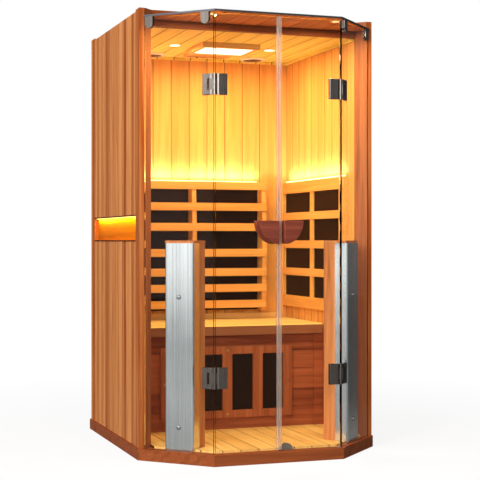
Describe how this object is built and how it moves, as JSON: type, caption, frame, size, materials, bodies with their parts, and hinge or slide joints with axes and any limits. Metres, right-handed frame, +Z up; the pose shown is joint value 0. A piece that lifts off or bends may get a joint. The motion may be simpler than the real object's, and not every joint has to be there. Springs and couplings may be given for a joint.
{
  "type": "infrared sauna cabin",
  "caption": "Corner-cut wooden infrared sauna cabin with a frameless glass front, swing doors, bench, slatted backrest and heater panels.",
  "frame": {"origin": "middle of the plinth underside, on the floor", "axes": "+X to the right seen from the front, -Y the way the doors face, +Z up"},
  "size_m": [1.116, 1.247, 1.956],
  "materials": {
    "red_cedar": "satin",
    "cedar": "satin",
    "warm_wood": "satin",
    "handle_wood": "oiled",
    "steel": "brushed",
    "grey_metal": "satin",
    "clear_glass": "polished",
    "clear_seal": "clear",
    "heater_black": "matte",
    "lamp_white": "lit diffuser",
    "black_plastic": "matte"
  },
  "bodies": {
    "cabin": {"base_plinth": "red_cedar", "front_beam": "red_cedar", "roof_panel": "red_cedar", "bench_front": "red_cedar", "bench_heater_frame": "red_cedar", "left_wall_cladding": "cedar", "right_wall_cladding": "cedar", "back_wall": "cedar", "left_jamb": "cedar", "right_jamb": "cedar", "left_tower_body": "cedar", "right_tower_body": "cedar", "ceiling_light_frame": "cedar", "vent_frame": "cedar", "floor_deck": "warm_wood", "left_wall_lining": "warm_wood", "right_wall_lining": "warm_wood", "ceiling_panel": "warm_wood", "canopy_board": "warm_wood", "backrest": "warm_wood", "left_heater_frame": "warm_wood", "right_heater_frame": "warm_wood", "bench_seat": "warm_wood", "canopy_trim": "grey_metal", "door_stop": "grey_metal", "left_speaker": "grey_metal", "right_speaker": "grey_metal", "back_heater": "heater_black", "bench_heater": "heater_black", "left_tower_heater": "heater_black", "right_tower_heater": "heater_black", "left_side_heater": "heater_black", "right_side_heater": "heater_black", "ceiling_light_panel": "lamp_white", "control_box": "black_plastic", "left_fixed_glass": "clear_glass", "left_lower_hinge_fixed_leaf": "steel", "left_upper_hinge_fixed_leaf": "steel", "left_clip_door_end": "steel", "left_clip_wall_end": "steel", "left_tower_cover": "steel", "right_fixed_glass": "clear_glass", "right_lower_hinge_fixed_leaf": "steel", "right_upper_hinge_fixed_leaf": "steel", "right_clip_door_end": "steel", "right_clip_wall_end": "steel", "right_tower_cover": "steel"},
    "left_door": {"left_door_glass": "clear_glass", "left_door_seal": "clear_seal", "left_outer_handle": "handle_wood", "left_inner_handle": "handle_wood", "left_lower_hinge_door_leaf": "steel", "left_upper_hinge_door_leaf": "steel"},
    "right_door": {"right_door_glass": "clear_glass", "right_door_seal": "clear_seal", "right_outer_handle": "handle_wood", "right_inner_handle": "handle_wood", "right_lower_hinge_door_leaf": "steel", "right_upper_hinge_door_leaf": "steel"},
    "vent_slider": {"vent_slider": "red_cedar"}
  },
  "joints": [
    {"name": "left_door_hinge", "type": "hinge", "parent": "cabin", "child": "left_door", "pos_m": [-0.28854, -0.594, 0], "axis": [0, 0, -1], "range_deg": [0, 95]},
    {"name": "right_door_hinge", "type": "hinge", "parent": "cabin", "child": "right_door", "pos_m": [0.28854, -0.594, 0], "axis": [0, 0, 1], "range_deg": [0, 95]},
    {"name": "vent_slide", "type": "slide", "parent": "cabin", "child": "vent_slider", "axis": [1, 0, 0], "range_m": [0, 0.104]}
  ]
}
